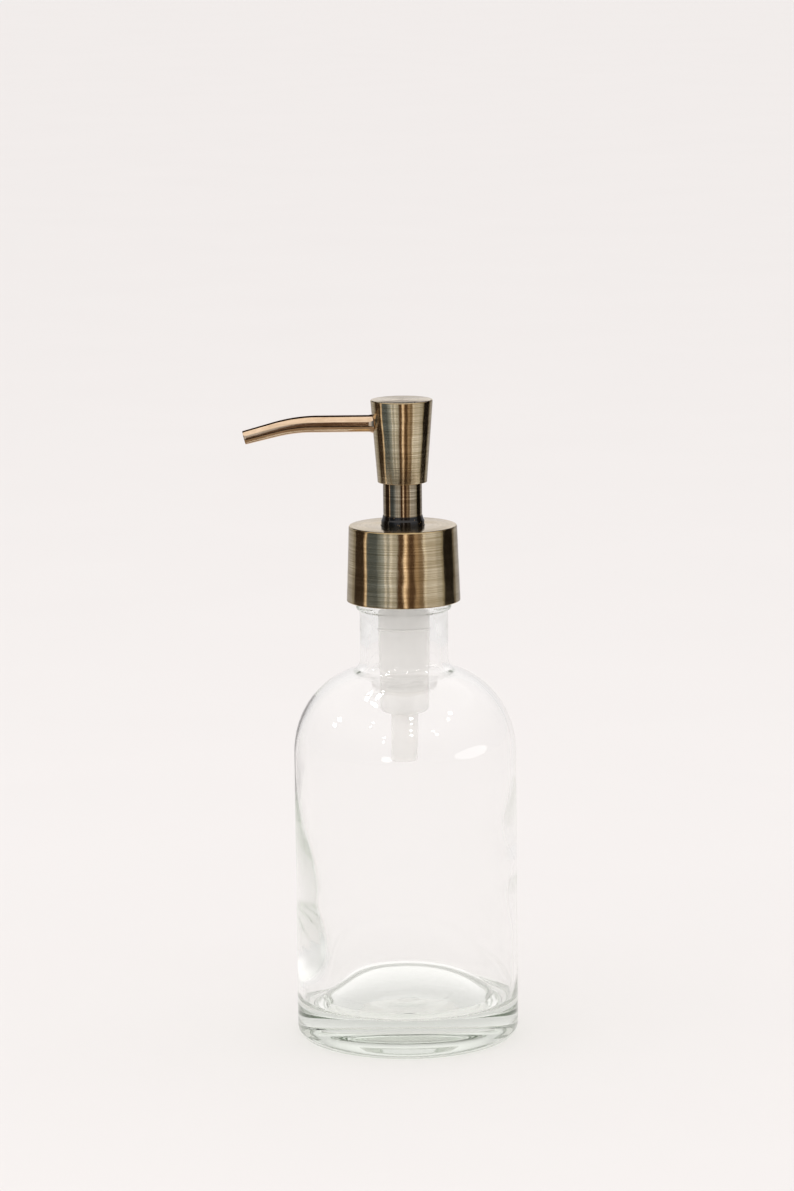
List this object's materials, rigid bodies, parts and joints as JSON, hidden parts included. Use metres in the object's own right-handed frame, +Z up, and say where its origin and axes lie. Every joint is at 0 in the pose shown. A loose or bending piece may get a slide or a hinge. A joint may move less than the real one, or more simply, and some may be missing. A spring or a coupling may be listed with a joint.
{
  "type": "soap pump dispenser",
  "caption": "Round clear glass bottle with a domed shoulder and a screw-on lotion pump: flared press head, thin down-curved spout, ribbed closure under a brass collar",
  "frame": {"origin": "centre of the bottle's flat base, on the surface it stands on", "axes": "+Z up along the bottle's axis, -X along the spout as stored, +Y away from the front view"},
  "size_m": [0.0852, 0.0704, 0.2042],
  "materials": {
    "glass": "clear soda-lime glass, slightly green at the edges",
    "brass": "aged brass plating, brushed round the axis",
    "dark_plastic": "glossy near-black moulded plastic",
    "milky_plastic": "natural translucent polypropylene",
    "white_plastic": "white polypropylene, as moulded",
    "soft_plastic": "soft polyethylene, as moulded",
    "rubber": "soft foamed sealing material",
    "steel": "bright stainless steel"
  },
  "bodies": {
    "bottle": {"glass_bottle": "glass"},
    "pump_body": {"pump_housing": "milky_plastic", "lip_gasket": "rubber", "ball_cage": "white_plastic", "return_spring": "steel", "chaplet": "white_plastic", "guide_sleeve": "brass", "stem_wiper": "rubber"},
    "closure": {"closure_shell": "brass", "closure_insert": "white_plastic", "collar_bush": "dark_plastic"},
    "plunger": {"piston_seal": "soft_plastic"},
    "head": {"head_shell": "brass", "head_cap": "brass", "head_core": "white_plastic", "spout_tube": "brass", "spout_liner": "soft_plastic", "piston_rod": "white_plastic", "piston_plug": "white_plastic"},
    "inlet_valve": {"inlet_ball": "steel"},
    "outlet_valve": {"outlet_ball": "steel"}
  },
  "joints": [
    {"name": "pump_lift", "type": "slide", "parent": "bottle", "child": "pump_body", "axis": [0, 0, 1], "range_m": [0, 0.00423]},
    {"name": "closure_unscrew", "type": "hinge", "parent": "pump_body", "child": "closure", "pos_m": [0, 0, 0.1525], "axis": [0, 0, 1], "range_deg": [0, 360]},
    {"name": "head_press", "type": "slide", "parent": "pump_body", "child": "plunger", "axis": [0, 0, -1], "range_m": [0, 0.0115], "stiffness_N_per_m": 600, "springref_m": -0.0065, "deforming": ["return_spring"]},
    {"name": "spout_swivel", "type": "hinge", "parent": "plunger", "child": "head", "pos_m": [0, 0, 0.1968], "axis": [0, 0, 1], "continuous": true},
    {"name": "inlet_ball_lift", "type": "slide", "parent": "pump_body", "child": "inlet_valve", "axis": [0, 0, 1], "range_m": [0, 0.0015]},
    {"name": "outlet_ball_lift", "type": "slide", "parent": "head", "child": "outlet_valve", "axis": [0, 0, 1], "range_m": [0, 0.001]}
  ],
  "couplings": [
    {"joint": "closure_unscrew", "follows": "pump_lift", "rad_per_m": 1484.3}
  ]
}
